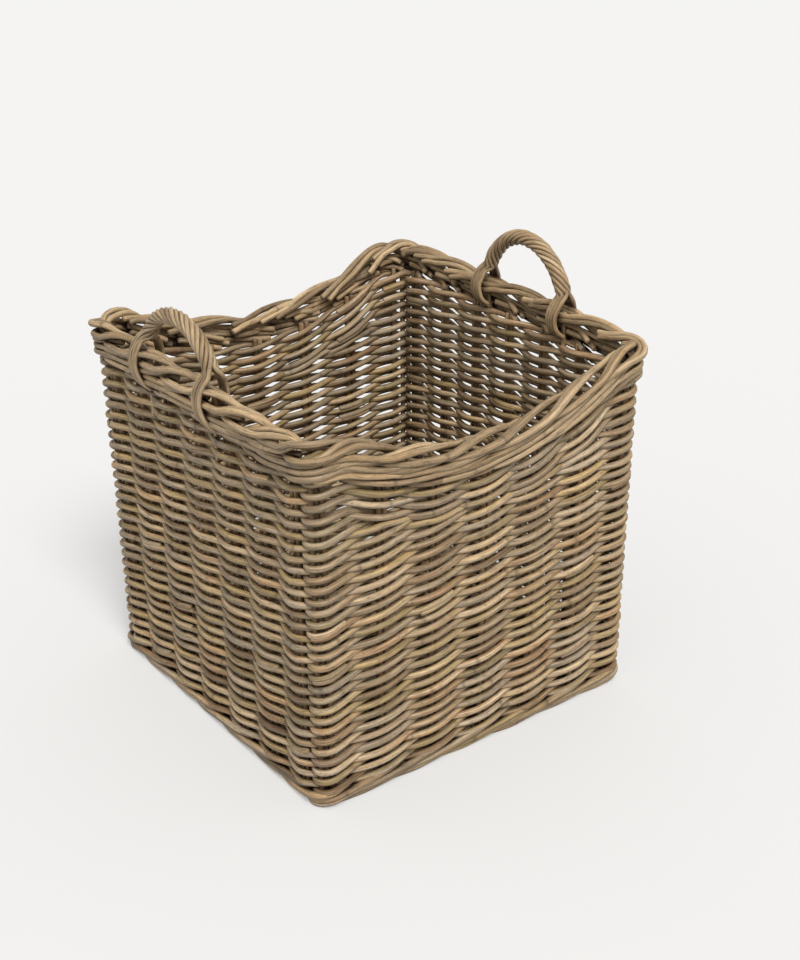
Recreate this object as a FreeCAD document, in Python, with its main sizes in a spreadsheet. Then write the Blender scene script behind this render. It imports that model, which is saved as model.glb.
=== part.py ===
import FreeCAD, Part
import math
import os

import Sketcher
from FreeCAD import Placement, Rotation, Vector

# Wicker log basket: square plan, two scooped walls (front -Y, back +Y), two straight
# walls (left -X, right +X) that each carry a fixed rope-twisted handle.
# Millimetres, +Z up, origin on the floor under the middle of the basket.

os.makedirs("parts", exist_ok=True)
doc = FreeCAD.newDocument("basket")

# ---------------------------------------------------------------- dimension sheet
sheet = doc.addObject("Spreadsheet::Sheet", "Sheet")
DIMENSIONS = [
    ("base_half", 244.0),        # outer face of the weave at the floor
    ("top_half", 248.5),         # outer face of the weave under the border
    ("rim_height", 480.0),       # top of the border at the corners
    ("corner_radius", 28.0),     # outer corner radius of the weave
    ("weaver_dia", 7.5),         # weaving rod
    ("stake_dia", 6.6),          # upright rod, used in pairs
    ("slack", 0.3),              # play between a stake and the rods beside it
    ("border_dia", 8.1),         # border rod
    ("foot_dia", 8.8),           # rod round the foot
    ("foot_wear", 0.7),          # flat worn on the underside of the foot rods
    ("row_first", 21.0),         # height of the first weave row
    ("row_pitch", 14.5),         # height of one pair of weavers
    ("full_rows", 22.0),         # level rows woven right round
    ("packing_rows", 3.0),       # short rows that build up the corners
    ("rim_rows", 4.0),           # rows that follow the scooped rim
    ("border_height", 46.0),     # border, from its underside to its top
    ("scoop_depth", 51.0),       # dip of the front and back rims
    ("scoop_span", 218.0),       # half length of the dip
    ("stake_corner_x", 225.0),   # front and back: stakes that stand in the corners
    ("stake_front_x", 144.0),    # front and back: second stake
    ("stake_front_step", 75.2),  # front and back: spacing after the second stake
    ("stake_side_step", 68.0),   # left and right: stake spacing
    ("stick_dia", 8.0),          # base stick
    ("base_weaver_dia", 7.4),    # base weaving rod
    ("base_pitch", 8.2),         # spacing of the base weaving rods
    ("base_reach", 218.0),       # half length of the base weaving rods
    ("handle_radius", 75.0),     # half the spread of the handle arch, on its centre line
    ("handle_rise_left", 63.0),  # rise of the left arch above its spring
    ("handle_rise_right", 77.0),  # rise of the right arch above its spring
    ("handle_spring", 475.0),    # height where the arches start
    ("handle_leg", 88.0),        # length of each leg inside the wall
    ("handle_shift", 31.0),      # handle's offset along its wall
    ("handle_core_dia", 7.0),    # rod inside the handle
    ("handle_dia", 20.0),        # outside of the wrapped handle
    ("lash_dia", 5.6),           # rods that bind the handle to the border
]
for row, (alias, value) in enumerate(DIMENSIONS, start=1):
    sheet.set(f"A{row}", alias)
    sheet.set(f"B{row}", f"{value}")
    sheet.setAlias(f"B{row}", alias)
doc.recompute()
D = {alias: float(getattr(sheet, alias)) for alias, _ in DIMENSIONS}

STAKES_PER_SIDE = 7
SPLICE_GAP = 0.4     # left between the ends of two lengths of rod
SCOOP_TURN = 0.8     # share of the scoop's half length that curves upward
LOWEST_SHARE = 0.86  # share of the scoop that the lowest rim row follows
wall_top = D["rim_height"] - D["border_height"]
weaver_r = D["weaver_dia"] / 2
stake_r = D["stake_dia"] / 2
border_r = D["border_dia"] / 2
foot_r = D["foot_dia"] / 2
foot_z = foot_r - D["foot_wear"]
stick_z = foot_z + foot_r + D["stick_dia"] / 2 + 0.1
stake_inset = D["weaver_dia"] + stake_r + D["slack"]
inner_inset = stake_inset + stake_r + weaver_r + D["slack"]
# The four walls: name, outward direction, direction along the wall to the right
# as seen from outside.
WALLS = {
    "front": (Vector(0, -1, 0), Vector(1, 0, 0)),
    "right": (Vector(1, 0, 0), Vector(0, 1, 0)),
    "back": (Vector(0, 1, 0), Vector(-1, 0, 0)),
    "left": (Vector(-1, 0, 0), Vector(0, -1, 0)),
}
SCOOPED = ("front", "back")
nodes = {}


def wall_half(height):
    """Half width over the weave at a height; the walls lean out a little."""
    return D["base_half"] + (D["top_half"] - D["base_half"]) * height / wall_top


def scoop_arcs():
    """Radii and end angle of the tangent arcs that make the scoop."""
    angle = 2 * math.atan(D["scoop_depth"] / D["scoop_span"])
    concave = SCOOP_TURN * D["scoop_span"] / math.sin(angle)
    convex = (1 - SCOOP_TURN) * D["scoop_span"] / math.sin(angle)
    return concave, convex, angle


def scoop_drop(along):
    """How far the scooped rim lies below the corners at a distance along the wall."""
    concave, convex, angle = scoop_arcs()
    distance = abs(along)
    if distance >= D["scoop_span"]:
        return 0.0
    if distance <= concave * math.sin(angle):
        return D["scoop_depth"] - (concave - math.sqrt(concave**2 - distance**2))
    rest = D["scoop_span"] - distance
    return convex - math.sqrt(convex**2 - rest**2)


def rod(points_and_bends, diameter):
    """A round rod along straight runs and tangent arcs, checked by its volume."""
    edges = []
    for piece in points_and_bends:
        if len(piece) == 2:
            edges.append(Part.makeLine(*piece))
        else:
            edges.append(Part.Arc(*piece).toShape())
    path = Part.Wire(edges)
    start = edges[0].valueAt(edges[0].FirstParameter)
    heading = edges[0].tangentAt(edges[0].FirstParameter)
    profile = Part.Wire(Part.Circle(start, heading, diameter / 2).toShape())
    shape = path.makePipeShell([profile], True, False)
    expected = math.pi * diameter**2 / 4 * path.Length
    if abs(shape.Volume / expected - 1) > 0.01:
        raise ValueError("a rod's volume does not match its section and length")
    return shape


def half_corner(wall, half, straight, height, side):
    """Half of a corner's arc, from the end of a wall's straight run to the corner's middle."""
    out, along = WALLS[wall]
    turn = along * side
    radius = half - straight
    centre = (out + turn) * straight + Vector(0, 0, height)
    swing = math.pi / 4 - SPLICE_GAP / 2 / radius
    return [centre + out * (radius * math.cos(part * swing)) + turn * (radius * math.sin(part * swing))
            for part in (0.0, 0.5, 1.0)]


def level_length(wall, half, radius, height, diameter):
    """One wall's length of a level ring, from the middle of one corner to the next."""
    straight = half - radius
    before = half_corner(wall, half, straight, height, -1)
    after = half_corner(wall, half, straight, height, 1)
    return rod([before[::-1], (before[0], after[0]), after], diameter)


def scooped_edges(wall, half, radius, height, share=1.0):
    """The centre line of a rod that follows a share of the scoop between two corners, in short
    lengths."""
    out, along = WALLS[wall]
    concave, convex, angle = scoop_arcs()
    span = D["scoop_span"]
    turn = SCOOP_TURN * span
    shoulder = (turn + span) / 2
    straight = half - radius

    def at(distance):
        return out * half + along * distance + Vector(0, 0, height - share * scoop_drop(distance))

    def arc(first, last):
        return (at(first), at((first + last) / 2), at(last))

    before = half_corner(wall, half, straight, height, -1)
    after = half_corner(wall, half, straight, height, 1)
    third = turn / 3
    return [
        [before[::-1], (before[0], at(-span)), (at(-span), at(-shoulder), at(-turn))],
        [arc(-turn + SPLICE_GAP, -third)],
        [arc(-third + SPLICE_GAP, third)],
        [arc(third + SPLICE_GAP, turn)],
        [(at(turn + SPLICE_GAP), at(shoulder), at(span)), (at(span), after[0]), after],
    ]


def node_from_shapes(name, shapes):
    """A sub-part whose rods follow bent paths."""
    feature = doc.addObject("Part::Feature", name)
    feature.Label = name
    feature.Shape = Part.makeCompound(shapes)
    nodes[name] = feature


def weave_lengths(wall, height, share):
    """One row on one wall: an outer rod and, half a row higher, an inner rod. On the scooped
    walls the row follows a share of the scoop."""
    at_corner = wall_half(height)
    centre = at_corner - D["corner_radius"]
    shapes = []
    for inset, lift in ((weaver_r, 0.0), (inner_inset, D["row_pitch"] / 2)):
        half = at_corner - inset
        radius = half - centre
        if share > 0 and wall in SCOOPED:
            for edges in scooped_edges(wall, half, radius, height + lift, share):
                shapes.append(rod(edges, D["weaver_dia"]))
        else:
            shapes.append(level_length(wall, half, radius, height + lift, D["weaver_dia"]))
    return shapes


# ---------------------------------------------------------------- weave rows
row_number = 0
for index in range(int(D["full_rows"])):
    row_number += 1
    height = D["row_first"] + index * D["row_pitch"]
    lengths = []
    for wall in WALLS:
        lengths += weave_lengths(wall, height, 0.0)
    node_from_shapes(f"weave_row_{row_number:02d}", lengths)
last_full = D["row_first"] + (D["full_rows"] - 1) * D["row_pitch"]

# Rows under the border: the lowest follows most of the scoop and the highest all of it.
rim_row_top = wall_top - D["weaver_dia"] + 0.5
rim_row_heights = [rim_row_top - step * D["row_pitch"] for step in range(int(D["rim_rows"]))]
for number, height in enumerate(reversed(rim_row_heights), start=1):
    climb = (number - 1) / (len(rim_row_heights) - 1)
    share = LOWEST_SHARE + (1 - LOWEST_SHARE) * climb
    lengths = []
    for wall in WALLS:
        lengths += weave_lengths(wall, height, share)
    node_from_shapes(f"rim_row_{number}", lengths)

# Short packing rows: they fill each corner between the level rows and the rim rows.
packing_count = int(D["packing_rows"])
packing_top = min(rim_row_heights)
packing_step = (packing_top - last_full) / (packing_count + 1)


def packing_reach(height):
    """Where along a scooped wall a packing row must stop under the rim rows."""
    clearance = D["weaver_dia"] + 0.6
    distance = D["scoop_span"]
    while distance > 0 and packing_top - LOWEST_SHARE * scoop_drop(distance) - height > clearance:
        distance -= 1.0
    return distance


def packing_lengths(wall, height):
    """A packing row: along one straight wall and a short way along both its neighbours."""
    order = list(WALLS)
    place = order.index(wall)
    at_corner = wall_half(height)
    straight = at_corner - D["corner_radius"]
    reach = packing_reach(height)
    shapes = []
    for inset, raise_by in ((weaver_r, 0.0), (inner_inset, D["row_pitch"] / 2)):
        half = at_corner - inset
        level = height + raise_by
        shapes.append(level_length(wall, half, half - straight, level, D["weaver_dia"]))
        for neighbour, side in ((order[place - 1], 1), (order[(place + 1) % 4], -1)):
            out, along = WALLS[neighbour]
            corner = half_corner(neighbour, half, straight, level, side)
            tail = out * half + along * (side * reach) + Vector(0, 0, level)
            shapes.append(rod([corner[::-1], (corner[0], tail)], D["weaver_dia"]))
    return shapes


for wall in ("left", "right"):
    lengths = []
    for step in range(1, packing_count + 1):
        lengths += packing_lengths(wall, last_full + step * packing_step)
    node_from_shapes(f"packing_rows_{wall}", lengths)

# ---------------------------------------------------------------- stakes


def stake_positions(wall):
    """Distances of the stakes along one wall, left to right from outside."""
    if wall in SCOOPED:
        inner = [-D["stake_front_x"] + k * D["stake_front_step"] for k in range(STAKES_PER_SIDE - 2)]
        return [-D["stake_corner_x"]] + inner + [D["stake_corner_x"]]
    middle = (STAKES_PER_SIDE - 1) / 2
    return [(k - middle) * D["stake_side_step"] for k in range(STAKES_PER_SIDE)]


def stake_point(wall, distance, height):
    """A point on the stake line, with the direction along the line there."""
    out, along = WALLS[wall]
    half = wall_half(height) - stake_inset
    centre = wall_half(height) - D["corner_radius"]
    radius = half - centre
    if abs(distance) <= centre:
        return out * half + along * distance + Vector(0, 0, height), along
    side = along if distance > 0 else along * -1
    swing = math.asin(min(1.0, (abs(distance) - centre) / radius))
    point = out * centre + side * centre
    point += out * (radius * math.cos(swing)) + side * (radius * math.sin(swing))
    tangent = side * math.cos(swing) - out * math.sin(swing)
    return point + Vector(0, 0, height), tangent


def bound_cylinder(name, radius_rule, height_rule, start, direction):
    """A Part cylinder whose size is bound to the sheet."""
    cylinder = doc.addObject("Part::Cylinder", name)
    cylinder.setExpression("Radius", radius_rule)
    cylinder.setExpression("Height", height_rule)
    cylinder.Placement = Placement(start, Rotation(Vector(0, 0, 1), direction))
    return cylinder


def node_from_objects(name, members):
    """A sub-part made of several separate solids."""
    compound = doc.addObject("Part::Compound", name)
    compound.Label = name
    compound.Links = members
    nodes[name] = compound


stake_foot = {"front": stick_z + D["stick_dia"] / 2 + 0.2, "left": 1.0}
stake_foot["back"] = stake_foot["front"]
stake_foot["right"] = stake_foot["left"]
for wall in WALLS:
    members = []
    for number, distance in enumerate(stake_positions(wall), start=1):
        drop = scoop_drop(distance) if wall in SCOOPED else 0.0
        foot = stake_foot[wall]
        low, tangent = stake_point(wall, distance, foot)
        high, _ = stake_point(wall, distance, wall_top)
        lean = (high - low).normalize()
        trim = foot + drop
        for side in (-1, 1):
            start = low + tangent * (side * (stake_r + 0.05))
            members.append(bound_cylinder(
                f"stake_{wall}_{number}_{'a' if side < 0 else 'b'}",
                "Sheet.stake_dia / 2",
                f"Sheet.rim_height - Sheet.border_height - {trim:.4f} mm / 1 mm",
                start, lean))
    node_from_objects(f"stakes_{wall}", members)

# ---------------------------------------------------------------- foot


def foot_ring(name, inset):
    """A rod round the foot with a flat worn on its underside, as a PartDesign body."""
    body = doc.addObject("PartDesign::Body", name)
    body.Label = name
    half = D["base_half"] - inset
    straight = D["base_half"] - D["corner_radius"]
    radius = half - straight
    planes = {feature.Role: feature for feature in body.Origin.OriginFeatures}
    path = body.newObject("Sketcher::SketchObject", name + "_path")
    path.AttachmentSupport = (planes["XY_Plane"], [""])
    path.MapMode = "FlatFace"
    path.AttachmentOffset = Placement(Vector(0, 0, foot_z), Rotation())
    corners = [(1, 1), (-1, 1), (-1, -1), (1, -1)]
    previous = Vector(half, 0, 0)
    for turn, (sx, sy) in enumerate(corners):
        centre = Vector(sx * straight, sy * straight, 0)
        first_angle = turn * math.pi / 2
        enter = centre + Vector(math.cos(first_angle), math.sin(first_angle), 0) * radius
        leave = centre + Vector(-math.sin(first_angle), math.cos(first_angle), 0) * radius
        path.addGeometry(Part.LineSegment(previous, enter), False)
        path.addGeometry(Part.ArcOfCircle(
            Part.Circle(centre, Vector(0, 0, 1), radius),
            first_angle, first_angle + math.pi / 2), False)
        previous = leave
    path.addGeometry(Part.LineSegment(previous, Vector(half, 0, 0)), False)
    section = body.newObject("Sketcher::SketchObject", name + "_section")
    section.AttachmentSupport = (planes["XZ_Plane"], [""])
    section.MapMode = "FlatFace"
    section.addGeometry(Part.Circle(Vector(half, foot_z, 0), Vector(0, 0, 1), foot_r), False)
    section.addConstraint(Sketcher.Constraint("Diameter", 0, D["foot_dia"]))
    section.setExpression("Constraints[0]", "Sheet.foot_dia")
    pipe = body.newObject("PartDesign::AdditivePipe", name + "_pipe")
    pipe.Profile = section
    pipe.Spine = path
    wear = body.newObject("Sketcher::SketchObject", name + "_wear_outline")
    wear.AttachmentSupport = (planes["XY_Plane"], [""])
    wear.MapMode = "FlatFace"
    wear.addGeometry(Part.Circle(Vector(0, 0, 0), Vector(0, 0, 1), 2 * D["base_half"]), False)
    pocket = body.newObject("PartDesign::Pocket", name + "_wear")
    pocket.Profile = wear
    pocket.setExpression("Length", "Sheet.foot_dia")
    pocket.Reversed = False
    body.Tip = pocket
    nodes[name] = body


foot_ring("foot_rod_outer", foot_r - 1.2)
foot_ring("foot_rod_inner", inner_inset + 0.6)

# ---------------------------------------------------------------- base
members = []
for number, distance in enumerate(stake_positions("front"), start=1):
    reach = D["base_half"] - stake_inset
    along = max(-(D["base_half"] - 36.0), min(D["base_half"] - 36.0, distance))
    for side in (-1, 1):
        start = Vector(along + side * (D["stick_dia"] / 2 + 0.05), -reach, stick_z)
        members.append(bound_cylinder(
            f"stick_{number}_{'a' if side < 0 else 'b'}",
            "Sheet.stick_dia / 2",
            "2 * (Sheet.base_half - Sheet.weaver_dia - Sheet.stake_dia / 2 - Sheet.slack)",
            start, Vector(0, 1, 0)))
node_from_objects("base_sticks", members)

layer_lift = D["stick_dia"] / 2 + D["base_weaver_dia"] / 2 + 0.05
weaver_count = int(2 * D["base_reach"] / D["base_pitch"])
layers = {"base_weavers_upper": [], "base_weavers_lower": []}
for number in range(weaver_count):
    across = (number - (weaver_count - 1) / 2) * D["base_pitch"]
    upper = number % 2 == 0
    layer = "base_weavers_upper" if upper else "base_weavers_lower"
    lift = stick_z + (layer_lift if upper else -layer_lift)
    layers[layer].append(bound_cylinder(
        f"base_weaver_{number + 1}",
        "Sheet.base_weaver_dia / 2",
        "2 * Sheet.base_reach",
        Vector(-D["base_reach"], across, lift), Vector(1, 0, 0)))
for name, members in layers.items():
    node_from_objects(name, members)

# ---------------------------------------------------------------- border
# Positions of the border rods in the section: outward from the stake line, and
# below the top of the border.
BORDER_REACH = 10.9
BORDER_SECTION = {
    "outer": [(10.2, 14.0), (BORDER_REACH, 23.2), (BORDER_REACH, 32.4), (10.2, 41.5)],
    "inner": [(-10.2, 14.0), (-BORDER_REACH, 23.2), (-10.2, 32.4)],
    "top": [(4.5, border_r), (-4.5, border_r)],
}
handle_feet = {
    "left": [-D["handle_shift"] - D["handle_radius"], -D["handle_shift"] + D["handle_radius"]],
    "right": [-D["handle_shift"] - D["handle_radius"], -D["handle_shift"] + D["handle_radius"]],
}
border_half = D["top_half"] - stake_inset
border_centre = D["top_half"] - D["corner_radius"]
for wall in WALLS:
    out, along = WALLS[wall]
    lengths = []
    for band, places in BORDER_SECTION.items():
        for outward, below in places:
            half = border_half + outward
            radius = half - border_centre
            height = D["rim_height"] - below
            if wall in SCOOPED:
                for edges in scooped_edges(wall, half, radius, height):
                    lengths.append(rod(edges, D["border_dia"]))
            elif band == "top":
                # These rods stop on both sides of each foot of the handle.
                clear = D["handle_dia"] / 2 + 0.6
                first, last = handle_feet[wall]
                middle = out * half + Vector(0, 0, height)
                before = half_corner(wall, half, border_centre, height, -1)
                after = half_corner(wall, half, border_centre, height, 1)
                for edges in (
                    [before[::-1], (before[0], middle + along * (first - clear))],
                    [(middle + along * (first + clear), middle + along * (last - clear))],
                    [(middle + along * (last + clear), after[0]), after],
                ):
                    lengths.append(rod(edges, D["border_dia"]))
            else:
                lengths.append(level_length(wall, half, radius, height, D["border_dia"]))
    node_from_shapes(f"border_{wall}", lengths)

# ---------------------------------------------------------------- handles


def handle_body(name, wall, leg, bore):
    """A round bar bent into the handle's arch; leg is the length below the arch."""
    out, along = WALLS[wall]
    body = doc.addObject("PartDesign::Body", name)
    body.Label = name
    planes = {feature.Role: feature for feature in body.Origin.OriginFeatures}
    reach = D["handle_radius"]
    spring = D["handle_spring"]
    rise = D[f"handle_rise_{wall}"]
    path = body.newObject("Sketcher::SketchObject", name + "_path")
    path.AttachmentSupport = (planes["YZ_Plane"], [""])
    path.MapMode = "FlatFace"
    if leg > 0:
        path.addGeometry(Part.LineSegment(Vector(reach, spring - leg, 0), Vector(reach, spring, 0)), False)
    centre = Vector(0, spring, 0)
    crown = Vector(0, spring + rise, 0)
    if rise < reach:
        arch = Part.Ellipse(Vector(reach, spring, 0), crown, centre)
        path.addGeometry(Part.ArcOfEllipse(arch, 0, math.pi), False)
    else:
        arch = Part.Ellipse(crown, Vector(-reach, spring, 0), centre)
        path.addGeometry(Part.ArcOfEllipse(arch, -math.pi / 2, math.pi / 2), False)
    if leg > 0:
        path.addGeometry(Part.LineSegment(Vector(-reach, spring, 0), Vector(-reach, spring - leg, 0)), False)
    section = body.newObject("Sketcher::SketchObject", name + "_section")
    section.AttachmentSupport = (planes["XY_Plane"], [""])
    section.MapMode = "FlatFace"
    section.AttachmentOffset = Placement(Vector(0, 0, spring - leg), Rotation())
    size = "handle_dia" if bore else "handle_core_dia"
    section.addGeometry(Part.Circle(Vector(0, reach, 0), Vector(0, 0, 1), D[size] / 2), False)
    section.addConstraint(Sketcher.Constraint("Diameter", 0, D[size]))
    section.setExpression("Constraints[0]", f"Sheet.{size}")
    if bore:
        bore_r = D["handle_core_dia"] / 2 + 0.05
        section.addGeometry(Part.Circle(Vector(0, reach, 0), Vector(0, 0, 1), bore_r), False)
    pipe = body.newObject("PartDesign::AdditivePipe", name + "_pipe")
    pipe.Profile = section
    pipe.Spine = path
    body.Tip = pipe
    centre = out * border_half - along * D["handle_shift"]
    body.Placement = Placement(centre, Rotation())
    nodes[name] = body


def lashing(name, wall, foot):
    """Rods wrapped round the border beside one foot of a handle."""
    out, along = WALLS[wall]
    wrap_r = D["lash_dia"] / 2
    reach = BORDER_REACH + border_r + wrap_r + 0.3
    bend = 8.0
    top = D["rim_height"] + wrap_r + 0.3
    bottom = wall_top - 2.6 * D["row_pitch"]
    lengths = []
    beside = D["handle_dia"] / 2 + wrap_r + 1.5
    for offset in (-beside - D["lash_dia"] - 0.4, -beside, beside, beside + D["lash_dia"] + 0.4):
        middle = out * border_half + along * (foot + offset)

        def at(outward, height):
            return middle + out * outward + Vector(0, 0, height)

        lean = bend * (1 - math.sqrt(0.5))
        tail_outside = at(reach, bottom)
        shoulder_outside = at(reach, top - bend)
        edges = [
            (tail_outside, shoulder_outside),
            (shoulder_outside, at(reach - lean, top - lean), at(reach - bend, top)),
            (at(reach - bend, top), at(-reach + bend, top)),
            (at(-reach + bend, top), at(-reach + lean, top - lean), at(-reach, top - bend)),
            (at(-reach, top - bend), at(-reach, bottom + D["row_pitch"])),
        ]
        lengths.append(rod(edges, D["lash_dia"]))
    node_from_shapes(name, lengths)


for wall in ("left", "right"):
    handle_body(f"handle_{wall}_core", wall, D["handle_leg"], False)
    handle_body(f"handle_{wall}_rope", wall, 0.0, True)
    for label, foot in zip(("a", "b"), handle_feet[wall]):
        lashing(f"lashing_{wall}_{label}", wall, foot)

# ---------------------------------------------------------------- check and write
doc.recompute()
for feature in doc.Objects:
    if "Invalid" in feature.State or "Error" in feature.State:
        raise RuntimeError(f"{feature.Label}: {feature.State}")
volume = 0.0
solids = 0
for name, feature in nodes.items():
    shape = feature.Shape
    if shape.isNull() or not shape.isValid() or not shape.Solids:
        raise RuntimeError(f"{name}: the shape is empty or not valid")
    volume += sum(solid.Volume for solid in shape.Solids)
    solids += len(shape.Solids)
    shape.exportStep(os.path.join("parts", f"{name}.step"))
box = Part.makeCompound([feature.Shape for feature in nodes.values()]).BoundBox
print(f"{len(nodes)} sub-parts, {solids} solids, {volume / 1e6:.2f} litres of rattan")
print(f"x {box.XMin:.1f}..{box.XMax:.1f}  y {box.YMin:.1f}..{box.YMax:.1f}  z {box.ZMin:.2f}..{box.ZMax:.1f}")
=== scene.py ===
import math
import random

import bpy
import numpy as np
from mathutils import Matrix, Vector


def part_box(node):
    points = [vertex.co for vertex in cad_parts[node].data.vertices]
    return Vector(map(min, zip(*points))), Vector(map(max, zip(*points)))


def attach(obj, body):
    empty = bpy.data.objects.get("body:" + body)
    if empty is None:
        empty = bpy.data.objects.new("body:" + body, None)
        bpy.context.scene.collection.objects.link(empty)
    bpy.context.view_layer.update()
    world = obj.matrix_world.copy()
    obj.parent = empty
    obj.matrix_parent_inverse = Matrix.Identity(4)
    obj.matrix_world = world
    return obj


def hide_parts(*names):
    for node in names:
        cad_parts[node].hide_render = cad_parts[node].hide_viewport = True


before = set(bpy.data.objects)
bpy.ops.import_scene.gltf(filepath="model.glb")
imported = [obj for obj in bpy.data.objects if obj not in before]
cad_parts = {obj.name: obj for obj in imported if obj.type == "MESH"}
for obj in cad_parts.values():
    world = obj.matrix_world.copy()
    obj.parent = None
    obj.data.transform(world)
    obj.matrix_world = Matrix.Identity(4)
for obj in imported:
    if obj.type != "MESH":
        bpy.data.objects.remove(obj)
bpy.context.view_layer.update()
random.seed(7)
noise_rng = np.random.default_rng(7)

# ---------------------------------------------------------------- sizes from the frame
MM = 0.001
NODES = list(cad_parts)
ROW_NODES = sorted(n for n in NODES if n.startswith("weave_row"))
RIM_NODES = sorted(n for n in NODES if n.startswith("rim_row"))
WEAVER_R = 3.75 * MM
STAKE_R = 3.3 * MM
BORDER_R = 4.05 * MM
FOOT_R = 4.2 * MM
STRAND_R = 2.75 * MM
STAKES_PER_WALL = 7


def row_height(node):
    """Middle height of a row at the corners: the CAD row's outer rod, which is its lowest."""
    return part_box(node)[0][2] + WEAVER_R


BASE_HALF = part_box(ROW_NODES[0])[1][0]
TOP_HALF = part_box(ROW_NODES[-1])[1][0]
BASE_Z = row_height(ROW_NODES[0])
LEAN = (TOP_HALF - BASE_HALF) / (row_height(ROW_NODES[-1]) - BASE_Z)
RIM_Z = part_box("border_left")[1][2]
BORDER_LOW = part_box("border_left")[0][2]
SCOOP_DEPTH = BORDER_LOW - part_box("border_front")[0][2]
SCOOP_SPAN = 218 * MM
SCOOP_TURN = 0.8
CORNER_RADIUS = 28 * MM
STAKE_INSET = 11.1 * MM
REF_Z = 240 * MM
ROW_PITCH = (row_height(ROW_NODES[-1]) - BASE_Z) / (len(ROW_NODES) - 1)
STAKE_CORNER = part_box("stakes_front")[1][0] - 2 * STAKE_R
STAKE_SIDE = (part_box("stakes_left")[1][1] - 2 * STAKE_R) / (STAKES_PER_WALL // 2)
STAKE_FRONT = 144 * MM
STAKE_FRONT_STEP = 75.2 * MM


def wall_half(z):
    """Half width over the weave at a height."""
    return BASE_HALF + LEAN * (z - BASE_Z)


def scoop_drop(along):
    """How far the scooped rim lies below the corners, from arrays of distance along the wall: a
    hollow arc that turns into a rounded shoulder."""
    angle = 2 * math.atan(SCOOP_DEPTH / SCOOP_SPAN)
    concave = SCOOP_TURN * SCOOP_SPAN / math.sin(angle)
    convex = (1 - SCOOP_TURN) * SCOOP_SPAN / math.sin(angle)
    d = np.minimum(np.abs(along), SCOOP_SPAN)
    middle = SCOOP_DEPTH - (concave - np.sqrt(np.maximum(concave**2 - d**2, 0)))
    rest = SCOOP_SPAN - d
    shoulder = convex - np.sqrt(np.maximum(convex**2 - rest**2, 0))
    return np.where(d <= SCOOP_TURN * SCOOP_SPAN, middle, shoulder)


# ---------------------------------------------------------------- the loop of the walls
REF_CENTRE = wall_half(REF_Z) - CORNER_RADIUS
REF_RADIUS = CORNER_RADIUS - STAKE_INSET
REF_HALF = REF_CENTRE + REF_RADIUS
SIDE = 2 * REF_CENTRE
QUARTER = SIDE + REF_RADIUS * math.pi / 2
LOOP = 4 * QUARTER


def loop_point(s):
    """Points, outward normals and scoop drop of the stake line at distances s, going right from
    the near corner along the front wall, as seen from outside."""
    s = np.mod(np.asarray(s, float), LOOP)
    wall = np.floor(s / QUARTER).astype(int)
    r = s - wall * QUARTER
    swing = np.maximum(r - SIDE, 0) / REF_RADIUS
    x = np.where(r <= SIDE, r - REF_CENTRE, REF_CENTRE + REF_RADIUS * np.sin(swing))
    y = np.where(r <= SIDE, -REF_HALF, -REF_CENTRE - REF_RADIUS * np.cos(swing))
    nx, ny = np.sin(swing), -np.cos(swing)
    turn = wall * math.pi / 2
    c, sn = np.cos(turn), np.sin(turn)
    points = np.stack([c * x - sn * y, sn * x + c * y], -1)
    normals = np.stack([c * nx - sn * ny, sn * nx + c * ny], -1)
    drop = np.where((wall % 2 == 0) & (r <= SIDE), scoop_drop(r - REF_CENTRE), 0.0)
    return points, normals, drop


def wall_position(wall, along):
    """Loop distance of a place on a wall (0 front, 1 right, 2 back, 3 left)."""
    start = wall * QUARTER
    if abs(along) <= REF_CENTRE:
        return start + REF_CENTRE + along
    extra = REF_RADIUS * math.asin(min(1.0, (abs(along) - REF_CENTRE) / REF_RADIUS))
    return start + SIDE + extra if along > 0 else start - extra


STAKES = []
for wall in range(4):
    if wall % 2 == 0:
        inner = [-STAKE_FRONT + k * STAKE_FRONT_STEP for k in range(STAKES_PER_WALL - 2)]
        places = [-STAKE_CORNER, *inner, STAKE_CORNER]
    else:
        places = [(k - STAKES_PER_WALL // 2) * STAKE_SIDE for k in range(STAKES_PER_WALL)]
    STAKES += [wall_position(wall, place) for place in places]
STAKE_COUNT = len(STAKES)

# Smoothed table between loop distance and stake number.
TABLE_STEP = 1 * MM
table_s = np.arange(-LOOP, 2 * LOOP, TABLE_STEP)
stakes_wide = np.concatenate([np.array(STAKES) + k * LOOP for k in (-2, -1, 0, 1, 2)])
numbers_wide = np.arange(len(stakes_wide)) - 2 * STAKE_COUNT
table_u = np.interp(table_s, stakes_wide, numbers_wide)
WINDOW = 25
table_u = np.convolve(np.pad(table_u, WINDOW // 2, mode="edge"), np.ones(WINDOW) / WINDOW, mode="valid")


def to_stake(s):
    return np.interp(s, table_s, table_u)


def to_loop(u):
    return np.interp(u, table_u, table_s)


def wander(count, spacing, period, size):
    """A smooth random wave sampled at even steps."""
    knots = max(4, int(count * spacing / period) + 3)
    values = noise_rng.normal(0, 1, knots)
    x = np.linspace(0, knots - 1.001, count)
    i = x.astype(int)
    f = x - i
    f = f * f * (3 - 2 * f)
    return size * (values[i] * (1 - f) + values[np.minimum(i + 1, knots - 1)] * f)


# ---------------------------------------------------------------- tubes
FIRST_KNOT = (20 * MM, 500 * MM)
KNOT_SPACING = (250 * MM, 600 * MM)
KNOT_END_GAP = 10 * MM
KNOT_CLEAR = 0.6 * MM
KNOT_SWELL = 0.055
# A knot's rings: distance from its middle in millimetres, and how strong it is there.
KNOT_RINGS = ((-4.5, 0), (-1.6, 0.6), (0, 1.0), (1.6, 0.6), (4.5, 0))


def knot_places(total):
    """Where rattan's nodes fall along a rod."""
    places = []
    at = random.uniform(*FIRST_KNOT)
    while at < total - KNOT_END_GAP:
        places.append(at)
        at += random.uniform(*KNOT_SPACING)
    return places


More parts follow.
